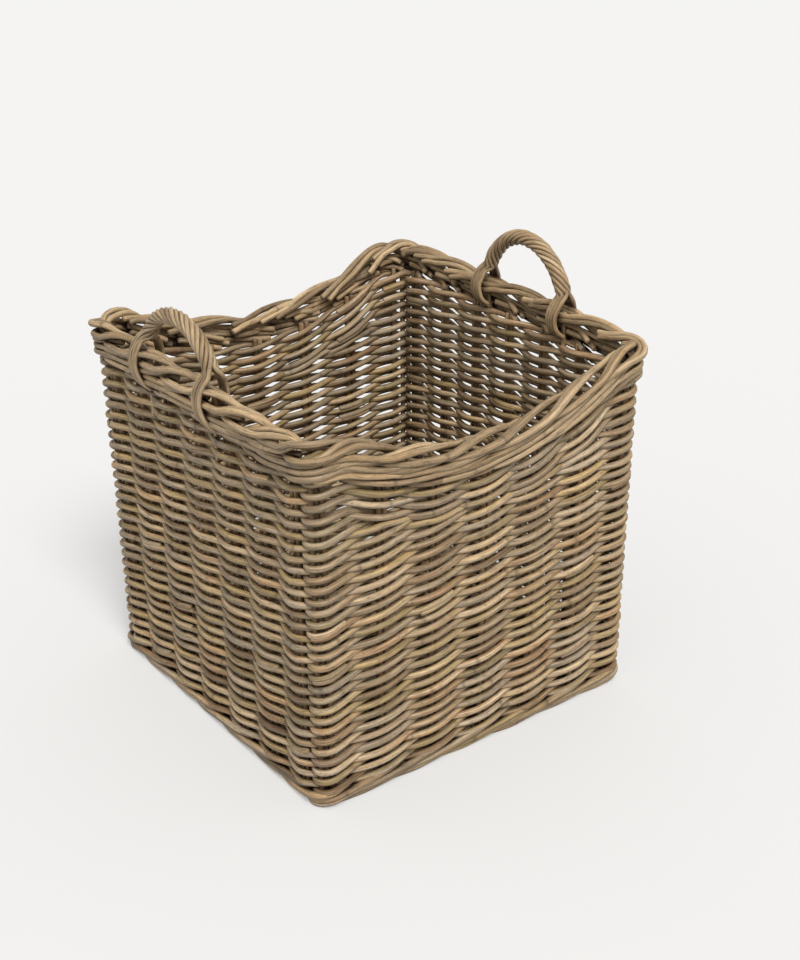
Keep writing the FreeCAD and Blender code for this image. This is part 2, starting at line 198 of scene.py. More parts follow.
def with_knots(points, radius, length):
    """Adds rings for the swollen dark nodes that rattan has along its length."""
    extra, marks = [], []
    for place in knot_places(length[-1]):
        for offset, mark in KNOT_RINGS:
            extra.append(place + offset * MM)
            marks.append(mark)
    if not extra:
        return points, radius, length, np.zeros(len(points))
    extra, marks = np.array(extra), np.array(marks, float)
    keep = np.all(np.abs(length[:, None] - extra[None, :]) > KNOT_CLEAR, axis=1)
    keep[0] = keep[-1] = True
    new = np.concatenate([length[keep], extra])
    ring = np.concatenate([np.zeros(keep.sum()), marks])
    order = np.argsort(new)
    new, ring = new[order], ring[order]
    points = np.stack([np.interp(new, length, points[:, k]) for k in range(3)], -1)
    return points, np.interp(new, length, radius) * (1 + KNOT_SWELL * ring), new, ring


# The two rings that close a cut end: their size and bulge in rod radii, and how much they are cut wood.
CAP_SCALE = (0.02, 0.86)
CAP_BULGE = 0.35
CAP_CUT = (1.0, 0.7)
MARKS = 4


class Tubes:
    """Collects round rods into one mesh with what its material needs to know."""

    def __init__(self):
        self.verts, self.normals, self.quads = [], [], []
        self.rod, self.tone, self.marks = [], [], []
        self.count = 0

    def emit(self, p, radius, across, other, length, ring, tone, sides, ends):
        """Adds the rings of a rod or of a stretch of one, closed at the ends that are real ends."""
        n = len(p)
        order, scale, shift, cut = np.arange(n), np.ones(n), np.zeros(n), np.zeros(n)
        if ends[0]:
            order = np.concatenate([[0, 0], order])
            scale = np.concatenate([CAP_SCALE, scale])
            shift = np.concatenate([[-CAP_BULGE, -CAP_BULGE], shift])
            cut = np.concatenate([CAP_CUT, cut])
        if ends[1]:
            order = np.concatenate([order, [n - 1, n - 1]])
            scale = np.concatenate([scale, CAP_SCALE[::-1]])
            shift = np.concatenate([shift, [CAP_BULGE, CAP_BULGE]])
            cut = np.concatenate([cut, CAP_CUT[::-1]])
        tangent = np.cross(across, other)
        angle = np.linspace(0, 2 * math.pi, sides, endpoint=False)
        c, sn = np.cos(angle), np.sin(angle)
        normal = c[None, :, None] * across[order][:, None, :] + sn[None, :, None] * other[order][:, None, :]
        centre = p[order] + tangent[order] * (shift * radius[order])[:, None]
        rings = centre[:, None, :] + (radius[order] * scale)[:, None, None] * normal
        m = len(order)
        self.verts.append(rings.reshape(-1, 3))
        self.normals.append(normal.reshape(-1, 3))
        a = np.arange(m - 1)[:, None] * sides + np.arange(sides)[None, :]
        b = np.arange(m - 1)[:, None] * sides + (np.arange(sides)[None, :] + 1) % sides
        self.quads.append(np.stack([a, b, b + sides, a + sides], -1).reshape(-1, 4) + self.count)
        rod = np.empty((m, sides, 3))
        rod[..., 0] = length[order][:, None]
        rod[..., 1] = c[None, :]
        rod[..., 2] = sn[None, :]
        self.rod.append(rod.reshape(-1, 3))
        self.tone.append(np.broadcast_to(np.array(tone, float), (m * sides, len(tone))).copy())
        marks = np.zeros((m, sides, MARKS))
        marks[..., 0] = ring[order][:, None]
        marks[..., 2] = cut[:, None]
        self.marks.append(marks.reshape(-1, MARKS))
        self.count += m * sides


# Directions that a rod's first ring is turned from; the second serves rods that run along the first.
SIDE_HINTS = ((0.31, 0.17, 0.93), (0.9, 0.3, 0.1))
NEARLY_ALONG = 0.2
# Random numbers drawn for each rod; the material uses the first three.
TONES = 4


def lay_rod(parts, points, radius, sides=10, knots=True):
    """One rod along points (metres). parts lists (tubes, end length) in order, so that one rod can
    run through several pieces; radius is a number or one for each point."""
    p = np.asarray(points, float)
    radius = np.broadcast_to(np.asarray(radius, float), (len(p),)).copy()
    tone = [random.random() for _ in range(TONES)]
    length = np.concatenate([[0], np.cumsum(np.linalg.norm(np.diff(p, axis=0), axis=1))])
    ring = np.zeros(len(p))
    if knots:
        p, radius, length, ring = with_knots(p, radius, length)
    tangent = np.gradient(p, axis=0)
    tangent /= np.linalg.norm(tangent, axis=1)[:, None]
    vector = np.cross(tangent[0], SIDE_HINTS[0])
    if np.linalg.norm(vector) < NEARLY_ALONG:
        vector = np.cross(tangent[0], SIDE_HINTS[1])
    across = np.empty_like(p)
    for i in range(len(p)):
        vector = vector - tangent[i] * np.dot(vector, tangent[i])
        vector /= np.linalg.norm(vector)
        across[i] = vector
    other = np.cross(tangent, across)
    start = 0
    for number, (tubes, end) in enumerate(parts):
        last_part = number == len(parts) - 1
        stop = len(p) - 1 if last_part else int(np.argmin(np.abs(length - end)))
        chosen = slice(start, stop + 1)
        tubes.emit(p[chosen], radius[chosen], across[chosen], other[chosen], length[chosen], ring[chosen],
                   tone, sides, (number == 0, last_part))
        start = stop


PIECES = []


def register(name, tubes, material, slot, node):
    PIECES.append((name, tubes, material, slot, node))


# Cells, reach and blur for finding the weave's hollows, whose colour is darkened as painted shade, less so
# inside the basket; parts lower than GROUND_REACH are made darker too.
HOLLOW_CELL = 3.5 * MM
HOLLOW_REACH = 6.0 * MM
HOLLOW_MARGIN = 10
HOLLOW_BLUR = (0.06, 0.24, 0.40, 0.24, 0.06)
GROUND_REACH = 200 * MM
LOW_DARKENING = 0.30
INSIDE_HOLLOW_SHADE = 0.45


def crowding():
    """A blurred count of rod surface in cells of space, for finding the hollows of the weave."""
    everything = np.concatenate([v for _, tubes, *_ in PIECES for v in tubes.verts])
    origin = everything.min(axis=0) - HOLLOW_MARGIN * HOLLOW_CELL
    size = np.ceil((everything.max(axis=0) - origin) / HOLLOW_CELL).astype(int) + HOLLOW_MARGIN
    index = ((everything - origin) / HOLLOW_CELL).astype(int)
    flat = (index[:, 0] * size[1] + index[:, 1]) * size[2] + index[:, 2]
    grid = np.bincount(flat, minlength=int(np.prod(size))).reshape(size).astype(np.float32)
    for axis in range(3):
        grid = sum(weight * np.roll(grid, k - 2, axis=axis) for k, weight in enumerate(HOLLOW_BLUR))
    return origin, grid


def hollow_marks(tubes, origin, grid):
    """How crowded the space just outside each point of a piece is."""
    reach = np.concatenate(tubes.verts) + np.concatenate(tubes.normals) * HOLLOW_REACH
    place = (reach - origin) / HOLLOW_CELL - 0.5
    low = np.clip(np.floor(place).astype(int), 0, np.array(grid.shape) - 2)
    part = place - low
    value = np.zeros(len(reach), np.float32)
    for corner in range(8):
        step = np.array([corner & 1, corner >> 1 & 1, corner >> 2 & 1])
        weight = np.prod(np.where(step, part, 1 - part), axis=1)
        at = low + step
        value += weight * grid[at[:, 0], at[:, 1], at[:, 2]]
    return value


def build_piece(name, tubes, material, slot, node, origin, grid, low, high):
    """Makes the object, rides it on the root body and lets it stand for its CAD node."""
    verts, quads = np.concatenate(tubes.verts), np.concatenate(tubes.quads)
    normals, marks = np.concatenate(tubes.normals), np.concatenate(tubes.marks)
    # painted shade: points in the weave's hollows get darker colour, less so inside the basket; the colour also
    # darkens towards the bottom
    hollow = (hollow_marks(tubes, origin, grid) - low) / (high - low)
    inside = np.abs(verts[:, :2]).max(axis=1) < wall_half(verts[:, 2]) - STAKE_INSET
    hollow = np.where(inside, INSIDE_HOLLOW_SHADE * hollow, hollow)
    ground = np.clip(1 - verts[:, 2] / GROUND_REACH, 0, 1)
    marks[:, 1] = np.clip(hollow + LOW_DARKENING * ground, 0, 1)
    # painted light: surfaces facing up get lighter colour, undersides darker
    marks[:, 3] = 0.5 + 0.5 * normals[:, 2]
    mesh = bpy.data.meshes.new(name)
    mesh.vertices.add(len(verts))
    mesh.vertices.foreach_set("co", verts.astype(np.float32).ravel())
    mesh.loops.add(quads.size)
    mesh.loops.foreach_set("vertex_index", quads.astype(np.int32).ravel())
    mesh.polygons.add(len(quads))
    mesh.polygons.foreach_set("loop_start", np.arange(0, quads.size, 4, dtype=np.int32))
    mesh.update(calc_edges=True)
    rod, tone = np.concatenate(tubes.rod), np.concatenate(tubes.tone)
    for key, data in (("rod", rod), ("tone", tone[:, :3]), ("marks", marks[:, :3]), ("light", marks[:, 3:])):
        kind = "FLOAT_VECTOR" if data.shape[1] == 3 else "FLOAT"
        attribute = mesh.attributes.new(key, kind, "POINT")
        field = "vector" if kind == "FLOAT_VECTOR" else "value"
        attribute.data.foreach_set(field, data.astype(np.float32).ravel())
    mesh.polygons.foreach_set("use_smooth", np.ones(len(quads), bool))
    mesh.materials.append(material)
    mesh.validate()
    piece = bpy.data.objects.new(name, mesh)
    bpy.context.scene.collection.objects.link(piece)
    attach(piece, "root")
    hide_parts(node)


# ---------------------------------------------------------------- materials
GREYED_WOOD = (0.345, 0.274, 0.192, 1)
# colour of the painted shade in the hollows and of the darkening towards the bottom
SHADE_AND_LOW_DARK_COLOUR = (0.14, 0.10, 0.065, 1)
PITH_LIGHT = (0.44, 0.34, 0.21, 1)
PITH_DARK = (0.24, 0.17, 0.10, 1)
RING_LEVEL = 0.58


def rattan(name, ramp, grey=0.25, value=1.0, gloss=0.0, shade_and_low_dark_strength=1.0):
    """Weathered rattan: the rod's own tone, long grain, mottling, specks, dark rings, painted shade in the
    hollows, painted light on the upper sides, darkening towards the bottom and cut ends.
    """
    material = bpy.data.materials.new(name)
    material.use_nodes = True
    tree = material.node_tree
    nodes, links = tree.nodes, tree.links
    nodes.clear()
    output = nodes.new("ShaderNodeOutputMaterial")
    shader = nodes.new("ShaderNodeBsdfPrincipled")
    links.new(shader.outputs[0], output.inputs[0])

    def attribute(key):
        """The three numbers of a mesh attribute."""
        node = nodes.new("ShaderNodeAttribute")
        node.attribute_name = key
        split = nodes.new("ShaderNodeSeparateXYZ")
        links.new(node.outputs["Vector"], split.inputs[0])
        return split.outputs

    def math_node(kind, a, b=None, c=None, clamp=False):
        """A sum on numbers or sockets."""
        node = nodes.new("ShaderNodeMath")
        node.operation = kind
        node.use_clamp = clamp
        for socket, value_in in zip(node.inputs, (a, b, c)):
            if value_in is None:
                continue
            if isinstance(value_in, (int, float)):
                socket.default_value = value_in
            else:
                links.new(value_in, socket)
        return node.outputs[0]

    def noise(along_scale, round_scale, seed_scale, detail, rough=0.6):
        """Noise in the rod's own space: cells for each metre along it and for each radius across it,
        moved for each rod."""
        combine = nodes.new("ShaderNodeCombineXYZ")
        links.new(math_node("MULTIPLY_ADD", along, along_scale, math_node("MULTIPLY", seed, seed_scale)),
                  combine.inputs[0])
        links.new(math_node("MULTIPLY_ADD", cos_a, round_scale, math_node("MULTIPLY", seed, 2.3 * seed_scale)),
                  combine.inputs[1])
        links.new(math_node("MULTIPLY", sin_a, round_scale), combine.inputs[2])
        texture = nodes.new("ShaderNodeTexNoise")
        texture.inputs["Scale"].default_value = 1.0
        texture.inputs["Detail"].default_value = detail
        texture.inputs["Roughness"].default_value = rough
        links.new(combine.outputs[0], texture.inputs["Vector"])
        return texture.outputs[0]

    def mix(kind, factor, a, b):
        """A blend of colours, from numbers, tuples or sockets."""
        node = nodes.new("ShaderNodeMix")
        node.data_type = "RGBA"
        node.blend_type = kind
        for socket, value_in in ((node.inputs["Factor"], factor), (node.inputs[6], a), (node.inputs[7], b)):
            if isinstance(value_in, (int, float, tuple)):
                socket.default_value = value_in
            else:
                links.new(value_in, socket)
        return node.outputs[2]

    def stretch(source, low, high, to_low=0.0, to_high=1.0):
        """Maps the range low to high onto another, and holds the ends."""
        node = nodes.new("ShaderNodeMapRange")
        node.clamp = True
        for socket, number in zip(node.inputs[1:5], (low, high, to_low, to_high)):
            socket.default_value = number
        links.new(source, node.inputs[0])
        return node.outputs[0]

    along, cos_a, sin_a = attribute("rod")
    tone_a, tone_b, tone_c = attribute("tone")
    ring, hollow_shade_and_low_dark, cut = attribute("marks")
    # painted light: the light attribute makes the upper sides of the rods lighter and their undersides darker
    light = nodes.new("ShaderNodeAttribute")
    light.attribute_name = "light"
    painted_top_light = light.outputs["Fac"]
    seed = math_node("ADD", math_node("MULTIPLY", tone_a, 3.1), math_node("MULTIPLY", tone_b, 7.7))

    patches = noise(7.0, 0.7, 41.0, 2.0)
    grain = noise(22.0, 2.6, 23.0, 4.0, 0.65)
    fine = noise(70.0, 9.0, 17.0, 2.0)
    blotch = noise(75.0, 1.6, 11.0, 2.0)
    specks = noise(210.0, 3.0, 29.0, 2.0)

    moved = math_node("MULTIPLY", math_node("SUBTRACT", patches, 0.5), 0.75)
    pick = math_node("ADD", tone_a, moved, clamp=True)
    colours = nodes.new("ShaderNodeValToRGB")
    links.new(pick, colours.inputs[0])
    elements = colours.color_ramp.elements
    while len(elements) > 1:
        elements.remove(elements[-1])
    for i, (place, colour) in enumerate(ramp):
        element = elements[0] if i == 0 else elements.new(place)
        element.position = place
        element.color = (*colour, 1)
    colour = colours.outputs[0]
    greyed = mix("MIX", math_node("MULTIPLY", stretch(tone_c, 0.35, 1.0), grey * 2), colour, GREYED_WOOD)
    colour = mix("MIX", stretch(patches, 0.3, 0.7), greyed, colour)
    # what makes the rod lighter or darker: each source's low and high, and the factors they stand for
    level = stretch(tone_b, 0.0, 1.0, 0.74, 1.30)
    for source, *span in (
        (grain, 0.32, 0.68, 0.60, 1.42),
        (fine, 0.30, 0.70, 0.80, 1.18),
        (blotch, 0.30, 0.46, 0.62, 1.0),
        (specks, 0.62, 0.70, 1.0, 0.45),
        (ring, 0.0, 1.0, 1.0, RING_LEVEL),
        # painted light: upper sides lighter, undersides darker
        (painted_top_light, 0.15, 0.90, 0.58, 1.16),
    ):
        level = math_node("MULTIPLY", level, stretch(source, *span))
    level = math_node("MULTIPLY", level, value)
    shade = nodes.new("ShaderNodeCombineXYZ")
    for socket in shade.inputs:
        links.new(level, socket)
    colour = mix("MULTIPLY", 1.0, colour, shade.outputs[0])
    # painted shade in the hollows, and the darkening towards the bottom, laid into the colour
    colour = mix("MULTIPLY", stretch(hollow_shade_and_low_dark, 0.0, 0.85, 0.0, shade_and_low_dark_strength), colour, SHADE_AND_LOW_DARK_COLOUR)
    pith = mix("MIX", stretch(fine, 0.35, 0.65), PITH_LIGHT, PITH_DARK)
    colour = mix("MIX", stretch(cut, 0.6, 0.9, 0.0, 0.8), colour, pith)
    links.new(colour, shader.inputs["Base Color"])
    links.new(stretch(grain, 0.3, 0.7, 0.66 - gloss, 0.46 - gloss), shader.inputs["Roughness"])
    shader.inputs["Specular IOR Level"].default_value = 0.45
    bump = nodes.new("ShaderNodeBump")
    bump.inputs["Strength"].default_value = 0.45
    bump.inputs["Distance"].default_value = 0.35 * MM
    height = math_node("ADD", math_node("MULTIPLY", grain, 0.8), math_node("MULTIPLY", fine, 0.5))
    links.new(height, bump.inputs["Height"])
    links.new(bump.outputs[0], shader.inputs["Normal"])
    return material


# Tones from one end of the choice to the other, as (place, linear colour).
WEAVER_TONES = [
    (0.00, (0.209, 0.126, 0.061)),
    (0.12, (0.339, 0.225, 0.115)),
    (0.25, (0.427, 0.314, 0.197)),
    (0.38, (0.456, 0.309, 0.136)),
    (0.50, (0.320, 0.229, 0.103)),
    (0.62, (0.427, 0.328, 0.226)),
    (0.74, (0.466, 0.332, 0.173)),
    (0.88, (0.369, 0.211, 0.099)),
    (1.00, (0.524, 0.386, 0.231)),
]
BORDER_TONES = [
    (0.00, (0.346, 0.227, 0.118)),
    (0.30, (0.451, 0.309, 0.163)),
    (0.60, (0.490, 0.347, 0.194)),
    (0.80, (0.403, 0.261, 0.125)),
    (1.00, (0.528, 0.382, 0.219)),
]
STAKE_TONES = [
    (0.00, (0.182, 0.103, 0.047)),
    (0.50, (0.259, 0.156, 0.073)),
    (1.00, (0.326, 0.214, 0.108)),
]
weaver_material = rattan("rattan_weavers", WEAVER_TONES, value=0.83)
border_material = rattan("rattan_border", BORDER_TONES, grey=0.15, value=0.78)
stake_material = rattan("rattan_stakes", STAKE_TONES, grey=0.1)
# the handles get less of the painted shade and bottom darkening
handle_material = rattan("rattan_handles", BORDER_TONES, grey=0.2, value=0.82, gloss=0.05, shade_and_low_dark_strength=0.7)

# ---------------------------------------------------------------- twined weave rows
TWINE_OUT = STAKE_R + WEAVER_R + 0.35 * MM
TWINE_UP = ROW_PITCH / 4
SAMPLE = 6.6 * MM
LIFT = 2.0 * MM
LOWEST_SHARE = 0.86
WANDER_PERIOD = 60 * MM
UP_WANDER = 0.5 * MM
OUT_WANDER = 0.35 * MM
THICK_PERIOD = 80 * MM
THICK_WANDER = 0.02
WEAVER_SPREAD = (0.99, 1.16)
# A rod is spliced after so many stakes; the lap, its fade and the last rod's least length are in stakes too.
ROD_REACH = (11, 24)
LEAST_ROD = 5
VISIBLE_MOVED = 0.6
LAP = 0.30
LAP_FADE = 0.7
LAP_SHIFT = 3.2 * MM


def twined(u, strand, height, follow, ceiling=None):
    """One strand of a row of paired twining at stake numbers u; ceiling keeps a short row under
    the lowest rim row."""
    s = to_loop(u)
    points, normals, drop = loop_point(s)
    phase = math.pi * (u + strand)
    level = height - drop * follow
    if ceiling is not None:
        level = np.minimum(level, ceiling - LOWEST_SHARE * drop)
    level = level + TWINE_UP * np.sin(phase)
    out = TWINE_OUT * np.cos(phase)
    count = len(u)
    level = level + wander(count, SAMPLE, WANDER_PERIOD, UP_WANDER)
    out = out + wander(count, SAMPLE, WANDER_PERIOD, OUT_WANDER)
    size = (wall_half(level) - STAKE_INSET) / REF_HALF
    xy = points * size[:, None] + normals * out[:, None]
    return np.column_stack([xy, level])


def strand_rods(tubes, strand, height, follow, first, last, closed, ceiling=None):
    """Lays one strand as several rods, with their cut ends where a weaver would splice them."""
    start = first
    cuts = [first]
    while True:
        start += random.uniform(*ROD_REACH)
        if start > last - LEAST_ROD:
            break
        place = round(start)
        inside = (place + strand) % 2 == 1
        if not inside and random.random() < VISIBLE_MOVED:
            place += 1
        cuts.append(place)
    cuts.append(last)
    for a, b in zip(cuts[:-1], cuts[1:]):
        lead = 0.0 if a == first and not closed else LAP
        tail = 0.0 if b == last and not closed else LAP
        ua, ub = a - lead, b + tail
        count = max(12, int((to_loop(ub) - to_loop(ua)) / SAMPLE))
        u = np.linspace(ua, ub, count)
        points = twined(u, strand, height, follow, ceiling)
        # at a splice the two rods lie one above the other
        if lead:
            near = np.clip(1 - (u - ua) / LAP_FADE, 0, 1)
            points[:, 2] -= LAP_SHIFT * near * near * (3 - 2 * near)
        if tail:
            near = np.clip(1 - (ub - u) / LAP_FADE, 0, 1)
            points[:, 2] += LAP_SHIFT * near * near * (3 - 2 * near)
        thick = WEAVER_R * random.uniform(*WEAVER_SPREAD)
        lay_rod([(tubes, 0)], points, thick * (1 + wander(count, SAMPLE, THICK_PERIOD, THICK_WANDER)))


def weave_row(node, height, follow):
    """A whole row round the basket, in place of its CAD node."""
    tubes = Tubes()
    first = random.randrange(STAKE_COUNT)
    for strand in (0, 1):
        strand_rods(tubes, strand, height, follow, first, first + STAKE_COUNT, True)
    register("twined_" + node, tubes, weaver_material, "weavers", node)


for node in ROW_NODES:
    weave_row(node, row_height(node) + LIFT, 0.0)
# the lowest rim row follows the scoop only in part, and the highest one wholly
RIM_SHARES = [LOWEST_SHARE + (1 - LOWEST_SHARE) * k / (len(RIM_NODES) - 1) for k in range(len(RIM_NODES))]
rim_heights = [row_height(node) + share * SCOOP_DEPTH for node, share in zip(RIM_NODES, RIM_SHARES)]
for number, (node, height, share) in enumerate(zip(RIM_NODES, rim_heights, RIM_SHARES)):
    weave_row(node, height + LIFT + number * MM, share)

# packing rows: short rows round the straight walls, between the level rows and the rim rows
rim_first = rim_heights[0]
level_last = row_height(ROW_NODES[-1])
HIDDEN_REACH = 0.42
PACKING_ROWS = 3
PACKING_CEILING = rim_first + LIFT - 8.5 * MM
for node, middle_wall in (("packing_rows_right", 1), ("packing_rows_left", 3)):
    tubes = Tubes()
    for number in range(1, PACKING_ROWS + 1):
        height = level_last + (rim_first - level_last) * number / (PACKING_ROWS + 1)
        # the row ends where the lowest rim row comes down to it
        reach = SCOOP_SPAN
        while rim_first - LOWEST_SHARE * float(scoop_drop(np.array(reach))) - height > 2 * MM:
            reach -= 1 * MM
        first = float(to_stake(wall_position(middle_wall - 1, reach)))
        last = float(to_stake(wall_position((middle_wall + 1) % 4, -reach) + (LOOP if middle_wall == 3 else 0)))
        for strand in (0, 1):
            # the ends lie on the face of the wall that is out of sight: inside the front wall and
            # outside the back wall
            ends = []
            for place, wall in ((first, middle_wall - 1), (last, (middle_wall + 1) % 4)):
                parity = (1 if wall == 0 else 0) + strand
                hidden = round((place - parity) / 2) * 2 + parity
                ends.append(hidden + min(max(place - hidden, -HIDDEN_REACH), HIDDEN_REACH))
            strand_rods(tubes, strand, height + LIFT, 0.0, *ends, False, PACKING_CEILING)
    register("twined_" + node, tubes, weaver_material, "weavers", node)

# ---------------------------------------------------------------- stakes
WALLS = ("front", "right", "back", "left")
# The drawn stakes are a little thicker than the CAD's, to be seen between the weavers as in the photo.
DRAWN_STAKE_R = 3.8 * MM
STAKE_TOP = 6 * MM
STAKE_FOOT = 0.4 * DRAWN_STAKE_R
STAKE_POINTS = 16
STAKE_STEP = 30 * MM
PAIR_FIT = 1.03
# One stake of the pair nearest each corner stands this much apart, towards the corner.
CORNER_GAP = 4.5 * MM
CORNER_SIDES = {0: -1, STAKES_PER_WALL - 1: 1}
for wall, name in enumerate(WALLS):
    tubes = Tubes()
    node = "stakes_" + name
    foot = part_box(node)[0][2]
    for number, s in enumerate(STAKES[wall * STAKES_PER_WALL:(wall + 1) * STAKES_PER_WALL]):
        corner_side = CORNER_SIDES.get(number, 0) if wall % 2 == 0 else 0
        _, _, drop = loop_point([s])
        top = BORDER_LOW - float(drop[0]) + STAKE_TOP
        for side in (-1, 1):
            z = np.linspace(foot + STAKE_FOOT, top, STAKE_POINTS)
            spread = DRAWN_STAKE_R * PAIR_FIT + wander(STAKE_POINTS, STAKE_STEP, 120 * MM, 0.35 * MM)
            if side == corner_side:
                spread = spread + CORNER_GAP
            points, normals, _ = loop_point(np.full(STAKE_POINTS, s) + side * spread)
            size = (wall_half(z) - STAKE_INSET) / REF_HALF
            lean = wander(STAKE_POINTS, STAKE_STEP, 100 * MM, 0.3 * MM)
            xy = points * size[:, None] + normals * lean[:, None]
            thick = DRAWN_STAKE_R * random.uniform(0.92, 1.05)
            lay_rod([(tubes, 0)], np.column_stack([xy, z]), thick, sides=8)
    register("paired_" + node, tubes, stake_material, "stakes", node)

# ---------------------------------------------------------------- border
# The border's skin goes up the outside from BAND_LOW, over the rim in a half circle, and down inside.
BAND_OUT = 9.5 * MM
BAND_LOW = -42.0 * MM
BAND_BEND = -13.6 * MM
FACE = BAND_BEND - BAND_LOW
OVER = math.pi * BAND_OUT


def band_section(w, h):
    """Outward distance and height under the rim for a place w up, over and down the border's skin."""
    swing = np.clip((w - FACE) / BAND_OUT, 0, math.pi)
    reach = BAND_OUT + h
    out = reach * np.cos(swing)
    up = BAND_BEND + reach * np.sin(swing)
    up = up + np.minimum(w - FACE, 0) - np.maximum(w - FACE - OVER, 0)
    return out, up


def rim_point(s, out, up):
    """A point beside the rim: out from the stake line and up square to the rim."""
    step = 1 * MM
    _, normals, drop = loop_point(s)
    _, _, ahead = loop_point(s + step)
    _, _, behind = loop_point(s - step)
    slope = -(ahead - behind) / (2 * step)
    size = 1 / np.sqrt(1 + slope**2)
    moved = s - up * slope * size
    points, normals, _ = loop_point(moved)
    z = RIM_Z - drop + up * size
    scale = (wall_half(RIM_Z) - STAKE_INSET) / REF_HALF
    xy = points * scale + normals * out[:, None]
    return np.column_stack([xy, z])


def keyed(t, keys):
    """Smooth values through (t, value, ...) keys, one column for each value."""
    keys = np.array(keys, float)
    result = []
    for column in range(1, keys.shape[1]):
        x, y = keys[:, 0], keys[:, column]
        slope = np.gradient(y, x)
        i = np.clip(np.searchsorted(x, t) - 1, 0, len(x) - 2)
        width = x[i + 1] - x[i]
        f = (t - x[i]) / width
        result.append((2 * f**3 - 3 * f**2 + 1) * y[i] + (f**3 - 2 * f**2 + f) * width * slope[i]
                      + (-2 * f**3 + 3 * f**2) * y[i + 1] + (f**3 - f**2) * width * slope[i + 1])
    return result


# Paths of the border's rods: stakes passed, place on the skin and height over it in millimetres.
UPPER_KEYS = [(-0.3, 9, -9), (0.0, 13, -2.5), (0.35, 16.5, 1.6), (0.7, 21, 3.2), (1.0, 25.5, 3.8),
              (1.3, 31.5, 3.6), (1.6, 37, 2.6), (1.9, 41.5, 1.0), (2.1, 44.5, -1.5), (2.35, 49, -5.0),
              (2.6, 56, -3.0), (2.9, 62, 0.5)]
LOWER_KEYS = [(-0.25, -3, -12), (0.0, -0.5, -4), (0.3, 2.0, 0.4), (0.8, 6, 1.4), (1.3, 10, 0.9),
              (1.8, 13.5, -1.2), (2.1, 16, -5), (2.4, 18, -9)]
PAIR_SPREAD = 4.15
CROSS_LENGTH = 2.3
CROSS_LIFT = 3.0
BORDER_STEP = 6 * MM
BORDER_WANDER = 90 * MM
POINTS_PER_STAKE = 13
SKIN_WANDER = 0.6
HEIGHT_WANDER = 0.4
PAIR_LATE = 0.05
border_tubes = [Tubes() for _ in range(4)]
for number in range(STAKE_COUNT):
    for keys in (LOWER_KEYS, UPPER_KEYS):
        pair_shift, pair_late = random.uniform(-1.3, 1.3), random.uniform(-0.1, 0.1)
        pair_cross = random.uniform(-0.1, 0.5)
        for side in (-1, 1):
            late = pair_late + side * PAIR_LATE + random.uniform(-PAIR_LATE, PAIR_LATE)
            first = keys[0][0]
            last = keys[-1][0] - (random.uniform(0.0, 0.4) if keys is UPPER_KEYS else 0)
            count = int((last - first) * POINTS_PER_STAKE)
            t = np.linspace(first, last, count)
            w, h = keyed(t, keys)
            cross = math.pi * (t - pair_cross) / CROSS_LENGTH if keys is UPPER_KEYS else np.zeros(count)
            h = h + side * CROSS_LIFT * np.sin(cross)
            w = w + pair_shift + side * PAIR_SPREAD * np.cos(cross)
            w = (w + wander(count, BORDER_STEP, BORDER_WANDER, SKIN_WANDER)) * MM
            h = (h + wander(count, BORDER_STEP, BORDER_WANDER, HEIGHT_WANDER)) * MM
            out, up = band_section(w, h)
            points = rim_point(to_loop(number + t + late), out, up)
            thick = BORDER_R * random.uniform(0.92, 1.06)
            thick = thick * (1 + wander(count, BORDER_STEP, WANDER_PERIOD, 0.025))
            lay_rod([(border_tubes[number // STAKES_PER_WALL], 0)], points, thick, sides=12)
for name, tubes in zip(WALLS, border_tubes):
    register("plaited_border_" + name, tubes, border_material, "border_rods", "border_" + name)

# ---------------------------------------------------------------- foot
foot_tubes = [Tubes(), Tubes()]
# Paths of the outer foot rods: stakes passed, outward and upward millimetres.
FOOT_KEYS = [(-0.5, -8.0, 4.6), (0.0, 0.0, 4.4), (0.4, 4.5, 5.6), (0.9, 6.6, 9.4), (1.4, 6.9, 13.6),
             (1.9, 5.6, 18.0), (2.2, 1.0, 20.5)]
FOOT_SCALE = (wall_half(10 * MM) - STAKE_INSET) / REF_HALF
FOOT_POINTS_PER_STAKE = 12
FOOT_LATE = 0.14
for number in range(STAKE_COUNT):
    for side in (-1, 1):
        first = FOOT_KEYS[0][0]
        last = FOOT_KEYS[-1][0] - random.uniform(0, 0.15)
        count = int((last - first) * FOOT_POINTS_PER_STAKE)
        t = np.linspace(first, last, count)
        out, up = keyed(t, FOOT_KEYS)
        points, normals, _ = loop_point(to_loop(number + t + (FOOT_LATE if side > 0 else 0)))
        out = (out + side * 0.7 + wander(count, BORDER_STEP, WANDER_PERIOD, 0.4)) * MM
        up = np.maximum((up + side * 2.6) * MM, FOOT_R)
        xy = points * FOOT_SCALE + normals * out[:, None]
        lay_rod([(foot_tubes[0], 0)], np.column_stack([xy, up]), FOOT_R * random.uniform(0.9, 1.0), sides=12)
register("foot_wale", foot_tubes[0], weaver_material, "foot_rods", "foot_rod_outer")
INNER_OUT, INNER_SWING_OUT = -8.5 * MM, 3.5 * MM
INNER_UP, INNER_SWING_UP = 8.4 * MM, 3.4 * MM
INNER_POINTS = 300
for strand in (0, 1):
    u = np.linspace(0, STAKE_COUNT, INNER_POINTS)
    points, normals, _ = loop_point(to_loop(u))
    phase = math.pi * (u + strand)
    out = INNER_OUT + INNER_SWING_OUT * np.cos(phase)
    up = INNER_UP + INNER_SWING_UP * np.sin(phase)
    xy = points * FOOT_SCALE + normals * out[:, None]
    lay_rod([(foot_tubes[1], 0)], np.column_stack([xy, up]), FOOT_R * 0.9)
register("foot_inner_pair", foot_tubes[1], weaver_material, "foot_rods", "foot_rod_inner")

